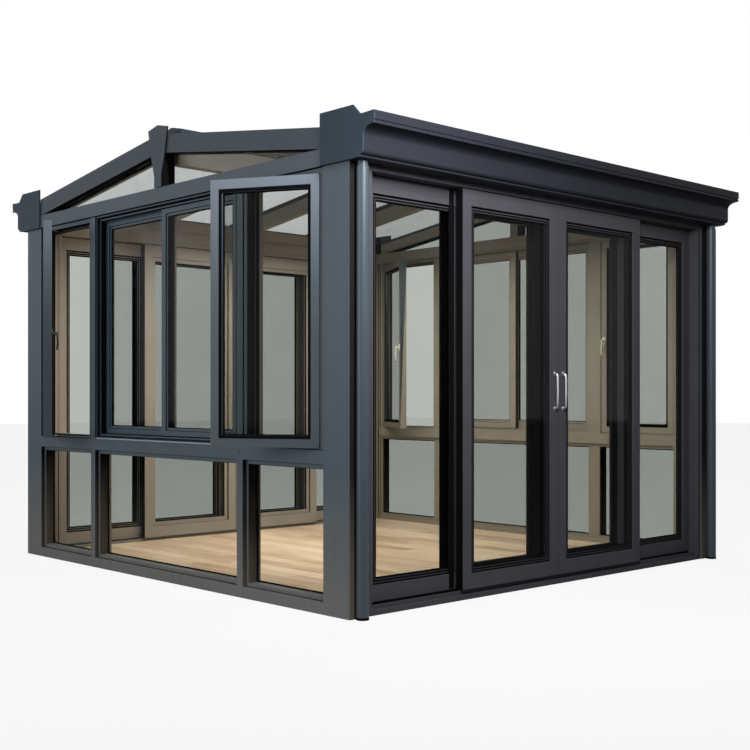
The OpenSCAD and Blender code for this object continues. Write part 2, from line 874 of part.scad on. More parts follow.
floor();
corner_posts();
eave_beams();
left_rails();
left_mullions();
left_window_frames();
left_sliding_sashes();
left_casements();
left_window_handles();
left_gable_truss();
left_glass();
right_rails();
right_mullions();
right_window_frames();
right_sliding_sashes();
right_casements();
right_window_handles();
right_gable_truss();
right_glass();
front_door_frame();
front_fixed_leaves();
front_fixed_glass();
front_left_leaf();
front_left_leaf_glass();
front_left_pull();
front_right_leaf();
front_right_leaf_glass();
front_right_pull();
front_left_screen();
front_right_screen();
rear_door_frame();
rear_fixed_leaves();
rear_fixed_glass();
rear_left_leaf();
rear_left_leaf_glass();
rear_left_pull();
rear_right_leaf();
rear_right_leaf_glass();
rear_right_pull();
rear_left_screen();
rear_right_screen();
ridge_beam();
roof_rafters();
roof_glass();
roof_caps();
front_gutter();
rear_gutter();
gutter_end_plates();
rainwater_pipes();
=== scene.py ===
import math
import random

import bpy
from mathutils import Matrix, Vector


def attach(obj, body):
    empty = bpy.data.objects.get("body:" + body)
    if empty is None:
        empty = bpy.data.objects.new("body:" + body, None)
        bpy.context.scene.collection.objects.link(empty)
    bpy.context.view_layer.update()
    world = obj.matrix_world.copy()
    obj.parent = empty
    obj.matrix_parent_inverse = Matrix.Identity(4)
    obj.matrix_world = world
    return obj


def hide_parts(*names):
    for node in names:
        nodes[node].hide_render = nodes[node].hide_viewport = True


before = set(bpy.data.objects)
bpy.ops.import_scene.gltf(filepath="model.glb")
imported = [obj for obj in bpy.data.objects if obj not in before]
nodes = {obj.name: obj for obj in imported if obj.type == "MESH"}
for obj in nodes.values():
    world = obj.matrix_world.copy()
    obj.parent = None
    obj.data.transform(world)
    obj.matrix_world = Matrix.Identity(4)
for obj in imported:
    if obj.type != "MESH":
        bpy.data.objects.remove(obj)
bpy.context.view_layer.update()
random.seed(7)

# Main sizes of the house, in metres
WALL_L, WALL_D = 3.46, 3.53
GABLE_T, POST_W, POST_H = 0.130, 0.208, 2.355
SILL_TOP, SILL_H, BOTTOM_RAIL = 0.862, 0.074, 0.064
MULLION_A, MULLION_B, MULLION_W, MULLION_T = 0.913, 2.562, 0.055, 0.110
SIDE_BAY, MIDDLE_BAY = 0.705, 1.594
LOW_H, LOW_FRAME = 0.724, 0.024
FLOOR_TOP = 0.035
HAIR = 0.0003

# Door leaves
LEAF_Z, LEAF_H, LEAF_T, LEAF_W, FIXED_W = 0.056, 2.263, 0.050, 0.861, 0.7875
OUTER_D, INNER_D, SCREEN_D, FRAME_BACK = 0.012, 0.080, 0.148, 0.206
MOVING_U, FIXED_U = 0.8665, 0.1653
STILE, TOP_RAIL, LOW_RAIL, DOOR_BEAD, DOOR_SET = 0.072, 0.092, 0.086, 0.030, 0.015
DOOR_PANE, DOOR_SPACER = 0.018, 0.008
# Black strips over the door beads: partly gaskets, partly painted shade of the recess round the pane.
DOOR_GASKET_SHADE_STRIPS = ((0.0, 0.010), (0.0155, 0.0255))
SHADE_STRIP_W, NET_T = 0.042, 0.0004
PULL_Z, PULL_U, PULL_L = 1.180, 0.823, 0.214

# Windows
SASH, BEAD, PANE = 0.046, 0.018, 0.016
CASE_SIDE, CASE_W, CASE_H, CASE_Z, CASE_T = 0.035, 0.629, 1.448, 0.873, 0.055
CASE_HEAD, CASE_SET = 0.052, 0.008
OPEN_OUT, OPEN_FAR, OPEN_IN = math.radians(29), math.radians(27.5), math.radians(30)
SLIDE_EDGE, SLIDE_W, SLIDE_H, SLIDE_Z, SLIDE_T = 0.024, 0.805, 1.445, 0.886, 0.032
SLIDE_OUTER, SLIDE_INNER, SLIDE_SET = 0.0303, 0.0663, 0.006
FRAME_INSET, FRAME_STEP = 0.008, 0.018

# Roof
PITCH, RAFTER_EAVE, TROUGH_IN, GLASS_SEAT = 0.1395, 2.5586, 0.2135, 0.032
MID = WALL_D / 2
CAP_END, ROOF_BAYS, CAP_START, CAP_HALF, CAP_FOOT, CAP_TOP = 0.1093, 4, 0.058, 0.030, 0.0223, 0.0346
RIDGE_HALF, RIDGE_END = 0.108, 0.0806
SCREWS, SCREW_START, SCREW_STEP = 5, 0.020, 0.318

# Floor planks
PLANK_W, PLANK_L, PLANK_GAP, PLANK_FOOT = 0.128, 1.2, 0.0012, 0.004

# Rainwater pipes
PIPE_IN, PIPE_OUT, PIPE_HEAD = 0.0595, 0.0333, 2.3262

# Camera, and lamps as name, place, target, size, power, colour, seen in reflections
CAMERA_AT, CAMERA_TURN, LENS, SHIFT = (-5.730, -6.239, 1.146), -43.04, 56.29, 0.02867
LAMPS = (
    ("key", (-8.4, 1.2, 2.3), (0, 0, 1.2), 5.0, 300, (0.97, 0.985, 1.0), True),
    ("door_fill", (-1.95, -3.50, 3.00), (-0.6, -1.7, 1.90), 1.0, 150, (0.97, 0.98, 1.0), True),
    ("back_fill", (5.6, 5.2, 4.2), (0.6, 0.6, 1.3), 3.5, 280, (0.98, 0.99, 1.0), False),
    ("top", (0.5, 0.5, 7.0), (0, 0, 1.0), 4.0, 140, (1.0, 0.99, 0.97), False),
    ("room", (0.0, 0.1, 2.32), (0.0, 0.1, 0.0), 2.2, 95, (1.0, 0.94, 0.85), False))


# ---------- places on the walls ----------
def left(s, h, d):
    return Vector((-WALL_L / 2 + d, -WALL_D / 2 + s, h))


def right(s, h, d):
    return Vector((WALL_L / 2 - d, -WALL_D / 2 + s, h))


def front(u, h, d):
    return Vector((-WALL_L / 2 + u, -WALL_D / 2 + d, h))


def rear(u, h, d):
    return Vector((-WALL_L / 2 + u, WALL_D / 2 - d, h))


def level(x, y, z):
    return Vector((x, y, z))


def shifted(wall, s, h, d):
    return lambda x, y, z: wall(s + x, h + y, d + z)


def flipped(wall, length):
    return lambda s, h, d: wall(length - s, h, d)


def hung(wall, angle, inward):
    """Place on a casement sash that stands open about its hinge edge."""
    def place(x, y, z):
        if inward:
            z -= CASE_T
            a, base = -angle, MULLION_T
        else:
            a, base = angle, 0.0
        return wall(POST_W + CASE_SIDE + x * math.cos(a) + z * math.sin(a), CASE_Z + y,
                    base - x * math.sin(a) + z * math.cos(a))
    return place


def rafter_top(s):
    return RAFTER_EAVE + PITCH * (min(s, WALL_D - s) - TROUGH_IN)


def cap_line(i):
    """How far in from the gable wall's face the middle of glazing cap i lies."""
    return CAP_END + i * (WALL_L - 2 * CAP_END) / ROOF_BAYS


# ---------- mesh tools ----------
class Shape:
    """Collects closed sweeps and turns them into one piece."""

    def __init__(self):
        self.verts, self.faces, self.tones = [], [], []

    def sweep(self, loops, closed=False, tone=0.5):
        base, n = len(self.verts), len(loops[0])
        for loop in loops:
            self.verts += [tuple(p) for p in loop]
            self.tones += [tone] * n
        spans = len(loops) if closed else len(loops) - 1
        for i in range(spans):
            a, b = base + i * n, base + (i + 1) % len(loops) * n
            for k in range(n):
                j = (k + 1) % n
                self.faces.append((a + k, a + j, b + j, b + k))
        if not closed:
            self.faces.append(tuple(base + k for k in range(n)))
            self.faces.append(tuple(base + (len(loops) - 1) * n + k for k in range(n)))

    def ring(self, place, x0, x1, y0, y1, profile):
        """Sweeps a profile of (inset, depth) points round a rectangle."""
        corners = ((x0, y0, 1, 1), (x1, y0, -1, 1), (x1, y1, -1, -1), (x0, y1, 1, -1))
        self.sweep([[place(x + sx * i, y + sy * i, d) for i, d in profile]
                    for x, y, sx, sy in corners], closed=True)

    def bar(self, place, x0, x1, y0, y1, z0, z1, chamfer=0.001, tone=0.5):
        """Bar with chamfered long edges, along the longer of x and y."""
        c = min(chamfer, abs(z1 - z0) / 3)
        if x1 - x0 >= y1 - y0:
            c = min(c, (y1 - y0) / 3)
            ends, a0, a1 = (x0, x1), y0, y1
        else:
            c = min(c, (x1 - x0) / 3)
            ends, a0, a1 = (y0, y1), x0, x1
        outline = [(a0 + c, z0), (a1 - c, z0), (a1, z0 + c), (a1, z1 - c), (a1 - c, z1),
                   (a0 + c, z1), (a0, z1 - c), (a0, z0 + c)]
        if x1 - x0 >= y1 - y0:
            loops = [[place(e, a, z) for a, z in outline] for e in ends]
        else:
            loops = [[place(a, e, z) for a, z in outline] for e in ends]
        self.sweep(loops, tone=tone)

    def lathe(self, centre, axis, profile, steps=20, squash=1.0):
        """Turns (radius, distance) points about an axis."""
        axis = axis.normalized()
        side = axis.orthogonal().normalized()
        other = axis.cross(side)
        loops = []
        for r, d in profile:
            loops.append([centre + axis * d + side * (r * math.cos(t)) + other * (r * squash * math.sin(t))
                          for t in (2 * math.pi * k / steps for k in range(steps))])
        self.sweep(loops)

    def tube(self, path, radii, steps=14, flat=1.0, up=Vector((0, 0, 1))):
        """Sweeps an ellipse along a path. The radii follow the points."""
        loops = []
        for i, p in enumerate(path):
            ahead = (path[min(i + 1, len(path) - 1)] - path[max(i - 1, 0)]).normalized()
            side = ahead.cross(up)
            side = side.normalized() if side.length > 1e-4 else ahead.orthogonal().normalized()
            other = side.cross(ahead)
            loops.append([p + side * (radii[i] * math.cos(t)) + other * (radii[i] * flat * math.sin(t))
                          for t in (2 * math.pi * k / steps for k in range(steps))])
        self.sweep(loops)

    def piece(self, name, material, body="house", slot="frame_paint", smooth=None, bevel=0.0):
        mesh = bpy.data.meshes.new(name)
        mesh.from_pydata(self.verts, [], self.faces)
        tone = mesh.attributes.new("tone", "FLOAT", "POINT")
        tone.data.foreach_set("value", self.tones)
        mesh.materials.append(material)
        obj = bpy.data.objects.new(name, mesh)
        bpy.context.scene.collection.objects.link(obj)
        outward_normals(mesh)
        if smooth:
            smooth_by_angle(mesh, smooth)
        if bevel:
            add_bevel(obj, bevel)
        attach(obj, body)
        return obj


def outward_normals(mesh):
    import bmesh
    work = bmesh.new()
    work.from_mesh(mesh)
    bmesh.ops.recalc_face_normals(work, faces=work.faces)
    work.to_mesh(mesh)
    work.free()


def smooth_by_angle(mesh, degrees):
    mesh.polygons.foreach_set("use_smooth", [True] * len(mesh.polygons))
    mesh.set_sharp_from_angle(angle=math.radians(degrees))


def add_bevel(obj, width, segments=2):
    bevel = obj.modifiers.new("edges", "BEVEL")
    bevel.width = width
    bevel.segments = segments
    bevel.limit_method = "ANGLE"
    bevel.angle_limit = math.radians(35)
    bevel.harden_normals = False


# ---------- materials ----------
def linear(r, g, b):
    return tuple((c / 255 / 12.92) if c <= 10 else ((c / 255 + 0.055) / 1.055) ** 2.4
                 for c in (r, g, b)) + (1.0,)


class Nodes:
    def __init__(self, name):
        self.material = bpy.data.materials.new(name)
        self.material.use_nodes = True
        self.tree = self.material.node_tree
        self.tree.nodes.clear()
        self.out = self.tree.nodes.new("ShaderNodeOutputMaterial")

    def add(self, kind, **inputs):
        node = self.tree.nodes.new(kind)
        for key, value in inputs.items():
            if hasattr(node, key) and not key[0].isupper():
                setattr(node, key, value)
            else:
                self.feed(node, key.replace("_", " "), value)
        return node

    def feed(self, node, socket, value):
        numbered = socket[0] == "I" and socket[1:].isdigit()
        target = node.inputs[int(socket[1:]) if numbered else socket]
        if isinstance(value, bpy.types.NodeSocket):
            self.tree.links.new(value, target)
        else:
            target.default_value = value

    def math(self, operation, a, b=0.0, clamp=False):
        node = self.add("ShaderNodeMath", operation=operation, use_clamp=clamp)
        self.feed(node, "I0", a)
        self.feed(node, "I1", b)
        return node.outputs[0]

    def noise(self, vector, scale, detail=3.0, roughness=0.5):
        return self.add("ShaderNodeTexNoise", Vector=vector, Scale=scale, Detail=detail,
                        Roughness=roughness).outputs[0]

    def mix(self, factor, a, b, blend="MIX"):
        node = self.add("ShaderNodeMix", data_type="RGBA", blend_type=blend)
        for socket, value in ((0, factor), (6, a), (7, b)):
            if isinstance(value, bpy.types.NodeSocket):
                self.tree.links.new(value, node.inputs[socket])
            else:
                node.inputs[socket].default_value = value
        return node.outputs[2]

    def ramp(self, factor, low, high):
        node = self.add("ShaderNodeMapRange", Value=factor)
        node.inputs["From Min"].default_value = low
        node.inputs["From Max"].default_value = high
        return node.outputs[0]

    def bump(self, height, strength, distance):
        return self.add("ShaderNodeBump", Height=height, Strength=strength, Distance=distance).outputs[0]

    def point(self):
        return self.add("ShaderNodeTexCoord").outputs["Object"]

    def finish(self, shader):
        self.tree.links.new(shader, self.out.inputs["Surface"])
        return self.material


def indoor_mask(n, point, split, under_roof):
    """1 behind the wall's face on faces that look into the room, and on other faces deeper than split.
    Under_roof keeps the mask below the roof glass."""
    axes = n.add("ShaderNodeSeparateXYZ", Vector=point)
    normal = n.add("ShaderNodeSeparateXYZ", Vector=n.add("ShaderNodeTexCoord").outputs["Normal"])
    depth = [n.math("SUBTRACT", length / 2, n.math("ABSOLUTE", axes.outputs[k]))
             for k, length in enumerate((WALL_L, WALL_D))]
    inward = [n.math("MULTIPLY", n.math("SIGN", axes.outputs[k]), n.math("MULTIPLY", normal.outputs[k], -1.0))
              for k in (0, 1)]
    on_gable = n.math("LESS_THAN", depth[0], depth[1])
    turned = n.math("ADD", inward[1], n.math("MULTIPLY", on_gable, n.math("SUBTRACT", inward[0], inward[1])))
    least = n.math("MINIMUM", depth[0], depth[1])
    faces_in = n.math("MULTIPLY", n.math("GREATER_THAN", turned, 0.5), n.math("GREATER_THAN", least, 0.0))
    faces_out = n.math("LESS_THAN", turned, -0.5)
    deep = n.math("GREATER_THAN", least, split)
    mask = n.math("ADD", faces_in, n.math("SUBTRACT", deep, faces_out, clamp=True), clamp=True)
    if under_roof:
        limit = n.math("ADD", RAFTER_EAVE - GLASS_SEAT - PITCH * TROUGH_IN, n.math("MULTIPLY", depth[1], PITCH))
        mask = n.math("MULTIPLY", mask, n.math("LESS_THAN", axes.outputs[2], limit))
    return mask


def shaded(colour, factor):
    return tuple(factor * c for c in colour[:3]) + (1.0,)


def powder_coat(name, outside, inside=None, split=0.085, rough=0.42, gloss=0.3, dust_and_bounce_light=0.60, under_roof=False,
                side_shade_colour=None, painted_top_highlight=None):
    """Satin powder coat with a fine grain, a warm lighter colour low down that is partly dust and partly painted
    floor-bounce light and, on request, another colour indoors, painted shade on faces across the gable wall and on
    undersides, and a painted highlight that lightens the top rails."""
    n = Nodes(name)
    point = n.point()
    fine = n.noise(point, 1400.0, 2.0)
    cloud = n.noise(point, 3.5, 4.0)
    streak = n.noise(n.add("ShaderNodeMapping", Vector=point, Scale=(26.0, 26.0, 1.3)).outputs[0], 1.0, 3.0)
    height = n.add("ShaderNodeSeparateXYZ", Vector=point).outputs[2]
    colour = n.mix(n.ramp(cloud, 0.3, 0.7), shaded(outside, 0.94), shaded(outside, 1.06))
    # Painted shade: faces across the gable wall and faces that look down get a dark colour and lose their sheen.
    if side_shade_colour:
        normal = n.add("ShaderNodeSeparateXYZ", Vector=n.add("ShaderNodeTexCoord").outputs["Normal"])
        turned = n.math("MULTIPLY", n.math("LESS_THAN", n.math("ABSOLUTE", normal.outputs[0]), 0.4),
                        n.math("LESS_THAN", normal.outputs[2], 0.4))
        colour = n.mix(turned, colour, side_shade_colour)
        gloss = n.math("MULTIPLY", n.math("SUBTRACT", 1.0, turned), gloss)
    # Painted highlight: the colour turns lighter towards the top, strongest on the top rails.
    if painted_top_highlight:
        colour = n.mix(n.math("MULTIPLY", n.math("POWER", n.ramp(height, 1.4, 2.33), 2.0), 0.9), colour, painted_top_highlight)
    if inside:
        indoor = n.mix(n.ramp(cloud, 0.3, 0.7), shaded(inside, 0.95), shaded(inside, 1.05))
        colour = n.mix(indoor_mask(n, point, split, under_roof), colour, indoor)
    # Warm lighter colour low down: partly dust, partly painted light bounced up from the floor.
    low = n.math("SUBTRACT", 1.0, n.ramp(height, 0.0, 0.75), clamp=True)
    colour = n.mix(n.math("MULTIPLY", n.math("MULTIPLY", low, n.ramp(streak, -0.6, 1.4)), dust_and_bounce_light), colour,
                   linear(140, 128, 112))
    shader = n.add("ShaderNodeBsdfPrincipled", Base_Color=colour)
    n.feed(shader, "Specular IOR Level", gloss)
    n.feed(shader, "Roughness", n.math("ADD", rough - 0.05, n.math("MULTIPLY", streak, 0.12)))
    n.feed(shader, "Normal", n.bump(fine, 0.12, 0.0004))
    return n.finish(shader.outputs[0])


def rubber(name="black_gasket"):
    n = Nodes(name)
    point = n.point()
    colour = n.mix(n.noise(point, 60.0), linear(7, 7, 8), linear(15, 15, 16))
    shader = n.add("ShaderNodeBsdfPrincipled", Base_Color=colour, Roughness=0.7)
    n.feed(shader, "Specular IOR Level", 0.02)
    n.feed(shader, "Normal", n.bump(n.noise(point, 900.0), 0.2, 0.0005))
    return n.finish(shader.outputs[0])


def brushed_steel(name="brushed_steel"):
    n = Nodes(name)
    point = n.point()
    lines = n.noise(n.add("ShaderNodeMapping", Vector=point, Scale=(900.0, 900.0, 6.0)).outputs[0], 1.0, 2.0)
    colour = n.mix(lines, linear(186, 187, 188), linear(222, 223, 222))
    shader = n.add("ShaderNodeBsdfPrincipled", Base_Color=colour, Metallic=1.0)
    n.feed(shader, "Roughness", n.math("ADD", 0.2, n.math("MULTIPLY", lines, 0.16)))
    return n.finish(shader.outputs[0])


def enamel(name, colour):
    n = Nodes(name)
    point = n.point()
    body = n.mix(n.noise(point, 40.0), shaded(colour, 0.95), colour)
    shader = n.add("ShaderNodeBsdfPrincipled", Base_Color=body, Roughness=0.24)
    n.feed(shader, "Normal", n.bump(n.noise(point, 500.0), 0.05, 0.0004))
    return n.finish(shader.outputs[0])


def clear_glass(name, tint, least=0.03, most=0.8, falloff=5.0):
    """Tinted pane: it mirrors more at a slant and lets the rest through, lamps too."""
    n = Nodes(name)
    point = n.point()
    haze = n.mix(n.ramp(n.noise(point, 0.9, 3.0), 0.3, 0.8), tint, shaded(tint, 0.97))
    through = n.add("ShaderNodeBsdfTransparent", Color=haze)
    mirror = n.add("ShaderNodeBsdfPrincipled", Base_Color=(0.9, 0.93, 0.95, 1.0), Metallic=1.0)
    n.feed(mirror, "Roughness", n.math("ADD", 0.015, n.math("MULTIPLY", n.noise(point, 2.0, 2.0), 0.02)))
    slant = n.add("ShaderNodeLayerWeight", Blend=0.5).outputs["Facing"]
    sheen = n.math("ADD", least, n.math("MULTIPLY", n.math("POWER", slant, falloff), most))
    both = n.add("ShaderNodeMixShader", Fac=sheen)
    n.feed(both, "I1", through.outputs[0])
    n.feed(both, "I2", mirror.outputs[0])
    return n.finish(both.outputs[0])


def insect_mesh(name="insect_mesh"):
    """Fine dark netting, too fine to see its threads: they cover a share of each spot evenly."""
    n = Nodes(name)
    point = n.point()
    share = n.mix(n.ramp(n.noise(point, 5.0, 3.0), 0.3, 0.8), (0.965, 0.965, 0.965, 1.0), (0.94, 0.94, 0.94, 1.0))
    clear = n.add("ShaderNodeBsdfTransparent", Color=share)
    thread = n.add("ShaderNodeBsdfPrincipled", Base_Color=(0.1, 0.1, 0.1, 1.0), Metallic=1.0, Roughness=0.03)
    both = n.add("ShaderNodeMixShader", Fac=0.004)
    n.feed(both, "I1", clear.outputs[0])
    n.feed(both, "I2", thread.outputs[0])
    return n.finish(both.outputs[0])


def plank_wood(name="oak_planks"):
    """Light oak laminate: each plank has its own tone, and the grain runs along Y."""
    n = Nodes(name)
    point = n.point()
    tone = n.add("ShaderNodeAttribute", attribute_name="tone").outputs["Fac"]
    axes = n.add("ShaderNodeSeparateXYZ", Vector=point)
    moved = n.add("ShaderNodeCombineXYZ", X=n.math("ADD", axes.outputs[0], n.math("MULTIPLY", tone, 7.0)),
                  Y=n.math("ADD", axes.outputs[1], n.math("MULTIPLY", tone, 31.0)), Z=axes.outputs[2]).outputs[0]
    grain = n.noise(n.add("ShaderNodeMapping", Vector=moved, Scale=(46.0, 2.2, 1.0)).outputs[0], 1.0, 5.0, 0.6)
    pore = n.noise(n.add("ShaderNodeMapping", Vector=moved, Scale=(420.0, 9.0, 1.0)).outputs[0], 1.0, 3.0)
    cloud = n.noise(n.add("ShaderNodeMapping", Vector=moved, Scale=(6.0, 1.4, 1.0)).outputs[0], 1.0, 3.0)
    base = n.mix(n.ramp(tone, 0.0, 1.0), linear(178, 144, 114), linear(236, 208, 178))
    base = n.mix(n.math("MULTIPLY", n.ramp(cloud, 0.35, 0.7), 0.6), base, linear(240, 214, 184))
    base = n.mix(n.math("MULTIPLY", n.ramp(grain, 0.52, 0.75), 0.55), base, linear(146, 114, 88))
    base = n.mix(n.math("MULTIPLY", n.ramp(pore, 0.55, 0.8), 0.3), base, linear(120, 94, 72))
    shader = n.add("ShaderNodeBsdfPrincipled", Base_Color=base)
    n.feed(shader, "Roughness", n.math("ADD", 0.34, n.math("MULTIPLY", grain, 0.2)))
    n.feed(shader, "Normal", n.bump(pore, 0.15, 0.0006))
    return n.finish(shader.outputs[0])


ANTHRACITE = linear(58, 70, 79)
UPPER = linear(37, 49, 60)
DOOR_GREY = linear(63, 63, 67)
SASH_LIGHT = linear(53, 62, 68)
TAUPE = linear(154, 147, 136)
CREAM = linear(226, 222, 208)
# Painted shade for the side faces and undersides of the gable parts, posts and truss.
PAINTED_SIDE_SHADE = linear(30, 28, 28)

gable_paint = powder_coat("gable_paint", ANTHRACITE, TAUPE, 0.085, side_shade_colour=PAINTED_SIDE_SHADE)
post_paint = powder_coat("post_paint", ANTHRACITE, TAUPE, 0.115, side_shade_colour=PAINTED_SIDE_SHADE)
truss_paint = powder_coat("truss_paint", UPPER, TAUPE, 0.085, under_roof=True, side_shade_colour=PAINTED_SIDE_SHADE)
leaf_paint = powder_coat("leaf_paint", DOOR_GREY, TAUPE, 0.140, gloss=0.05, dust_and_bounce_light=0.0)
screen_paint = powder_coat("screen_paint", linear(40, 41, 43), TAUPE, 0.240, gloss=0.03, dust_and_bounce_light=0.0)
door_frame_paint = powder_coat("door_frame_paint", DOOR_GREY, TAUPE, 0.140, gloss=0.03, dust_and_bounce_light=0.0)
eave_paint = powder_coat("eave_paint", DOOR_GREY, TAUPE, 0.080, gloss=0.05)
gutter_paint = powder_coat("gutter_paint", linear(32, 34, 40), TAUPE, 0.200, gloss=0.05, dust_and_bounce_light=0.0)
plate_paint = powder_coat("plate_paint", UPPER, gloss=0.12)
cap_paint = powder_coat("cap_paint", UPPER)
pipe_paint = powder_coat("pipe_paint", linear(55, 65, 72), rough=0.36, gloss=0.25, dust_and_bounce_light=0.05)
# The sash paint's lighter top is a painted highlight.
sash_paint = powder_coat("sash_paint", SASH_LIGHT, TAUPE, 9.0, rough=0.36, painted_top_highlight=linear(104, 113, 122))
indoor_paint = powder_coat("indoor_paint", TAUPE)
gasket = rubber()
steel = brushed_steel()
# Light colour of the painted highlight strips along the sills.
sill_highlight_paint = powder_coat("sill_highlight_paint", linear(142, 150, 157), dust_and_bounce_light=0.1)
cream = enamel("cream_enamel", CREAM)
dark_enamel = enamel("dark_enamel", linear(30, 32, 35))
wall_glass = clear_glass("wall_glass", (0.795, 0.81, 0.80, 1.0), 0.004, 0.5)
door_glass = clear_glass("door_glass", (0.69, 0.705, 0.685, 1.0), 0.004, 0.5)
roof_pane = clear_glass("roof_pane", (0.95, 0.96, 0.965, 1.0), 0.008, 0.6, 5.0)
netting = insect_mesh()
wood = plank_wood()

FINISH = {
    "corner_posts": post_paint, "eave_beams": eave_paint, "ridge_beam": indoor_paint,
    "roof_rafters": indoor_paint, "roof_glass": roof_pane, "roof_caps": cap_paint,
    "front_gutter": gutter_paint, "rear_gutter": gutter_paint, "gutter_end_plates": plate_paint,
    "rainwater_pipes": pipe_paint}
ENDING = (
    ("_leaf_glass", door_glass), ("_fixed_glass", door_glass), ("_glass", wall_glass), ("_pull", steel),
    ("_window_handles", cream), ("_casements", sash_paint),
    ("_fixed_leaves", leaf_paint), ("_leaf", leaf_paint), ("_screen", screen_paint),
    ("_door_frame", door_frame_paint), ("_gable_truss", truss_paint), ("_rails", gable_paint),
    ("_mullions", gable_paint), ("_window_frames", gable_paint), ("_sliding_sashes", gable_paint))
EDGE = {"corner_posts": 0.003, "front_gutter": 0.0015, "rear_gutter": 0.0015, "rainwater_pipes": 0.002,
        "gutter_end_plates": 0.0008, "roof_caps": 0.002}


def dress_nodes():
    """Gives each CAD node its material and small rounded edges."""
    for name, obj in nodes.items():
        material = FINISH.get(name)
        if material is None:
            material = next((m for ending, m in ENDING if name.endswith(ending)), gable_paint)
        if not obj.material_slots:
            obj.data.materials.append(material)
        for item in obj.material_slots:
            item.material = material
        if not name.endswith("glass"):
            add_bevel(obj, EDGE.get(name, 0.0012))


def floor_planks():
    """Planks along Y with staggered ends, each with a tone of its own."""
    shape = Shape()
    x0, x1 = -WALL_L / 2 + GABLE_T + HAIR, WALL_L / 2 - GABLE_T - HAIR
    y1 = WALL_D / 2 - FRAME_BACK - HAIR
    y0 = -y1
    half_gap = PLANK_GAP / 2
    columns = math.ceil((x1 - x0) / PLANK_W)
    for i in range(columns):
        a, b = x0 + i * PLANK_W, min(x0 + (i + 1) * PLANK_W, x1)
        y = y0 - random.uniform(0.1, 1.1)
        while y < y1:
            end = y + PLANK_L
            lo, hi = max(y, y0), min(end, y1)
            if hi - lo > 0.01:
                shape.bar(level, a + half_gap, b - half_gap, lo + half_gap, hi - half_gap, PLANK_FOOT, FLOOR_TOP,
                          0.0012, tone=random.random())
            y = end
    obj = shape.piece("floor_planks", wood, slot="floor_wood")
    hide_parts("floor")


def glazing(shape, place, w, h, t, side, top, bottom, bead, setback, pane, strips, spacer):
    """Black strips of a glazed frame on both faces, partly real gaskets and partly painted shade of the recess
    round
    the pane: strips on the bead, each from one inset to another, and the dark edge of the sealed pane."""
    x0, x1, y0, y1 = side, w - side, bottom, h - top
    for face in (0, 1):
        def depth(d):
            return t - d if face else d
        for a, b in strips:
            shape.ring(place, x0, x1, y0, y1,
                       [(a - 0.0003, depth(setback + 0.001)), (a - 0.0003, depth(setback - 0.0012)),
                        (b - 0.001, depth(setback - 0.0012)), (b, depth(setback - 0.0004)),
                        (b, depth(setback + 0.001))])
        glass = depth((t - pane) / 2 + 0.0004)
        rim = depth((t - pane) / 2 - 0.0012)
        shape.ring(place, x0 + bead, x1 - bead, y0 + bead, y1 - bead,
                   [(-0.0012, glass), (-0.0012, rim), (spacer - 0.001, rim), (spacer, glass)])


def door_gaskets_and_shade():
    for wall_name, wall in (("front", front), ("rear", rear)):
        fixed = Shape()
        for hand, place in (("left", wall), ("right", flipped(wall, WALL_L))):
            glazing(fixed, shifted(place, FIXED_U, LEAF_Z, INNER_D), FIXED_W, LEAF_H, LEAF_T,
                    STILE, TOP_RAIL, LOW_RAIL, DOOR_BEAD, DOOR_SET, DOOR_PANE, DOOR_GASKET_SHADE_STRIPS, DOOR_SPACER)
            moving = Shape()
            glazing(moving, shifted(place, MOVING_U, LEAF_Z, OUTER_D), LEAF_W, LEAF_H, LEAF_T,
                    STILE, TOP_RAIL, LOW_RAIL, DOOR_BEAD, DOOR_SET, DOOR_PANE, DOOR_GASKET_SHADE_STRIPS, DOOR_SPACER)
            moving.piece(f"{wall_name}_{hand}_leaf_gaskets", gasket, body=f"{wall_name}_{hand}_door")
        fixed.piece(f"{wall_name}_fixed_gaskets_and_shade", gasket)


def brush_seals_and_shade_strips():
    """Black covers and strips: a cover on the outer edge of each sliding leaf and screen, partly a brush seal and
    partly painted shade on that edge, and beside it a black strip on the fixed leaf's stile that paints the shade
    the moving leaf casts."""
    for wall_name, wall in (("front", front), ("rear", rear)):
        fixed = Shape()
        for hand, place in (("left", wall), ("right", flipped(wall, WALL_L))):
            here = shifted(place, 0.0, LEAF_Z, 0.0)
            # Painted shade: black strip on the fixed leaf's stile where the moving leaf shades it.
            fixed.bar(here, MOVING_U - SHADE_STRIP_W, MOVING_U - 0.001, 0.004, LEAF_H - 0.004, INNER_D - 0.0012,
                      INNER_D + 0.0004)
            # Cover on the moving edge: partly brush seal, partly painted shade on the edge.
            for kind, body, depth in (("leaf", "door", OUTER_D), ("screen", "screen_door", SCREEN_D)):
                cover = Shape()
                cover.bar(here, MOVING_U - 0.0014, MOVING_U + 0.0004, 0.003, LEAF_H - 0.003, depth + 0.002,
                          depth + LEAF_T - 0.002, 0.0004)
                cover.piece(f"{wall_name}_{hand}_{kind}_brush", gasket, body=f"{wall_name}_{hand}_{body}")
        fixed.piece(f"{wall_name}_fixed_shade_strips", gasket)


def screen_nets():
    """Netting of the insect screens, clamped in the middle of each screen's frame."""
    for wall_name, wall in (("front", front), ("rear", rear)):
        for hand, place in (("left", wall), ("right", flipped(wall, WALL_L))):
            here = shifted(place, MOVING_U, LEAF_Z, SCREEN_D)
            inset = STILE + DOOR_BEAD - 0.002
            low, high = LOW_RAIL + DOOR_BEAD - 0.002, LEAF_H - TOP_RAIL - DOOR_BEAD + 0.002
            outline = ((inset, low), (LEAF_W - inset, low), (LEAF_W - inset, high), (inset, high))
            shape = Shape()
            shape.sweep([[here(x, y, LEAF_T / 2 + d) for x, y in outline] for d in (-NET_T / 2, NET_T / 2)])
            shape.piece(f"{wall_name}_{hand}_screen_net", netting, body=f"{wall_name}_{hand}_screen_door")


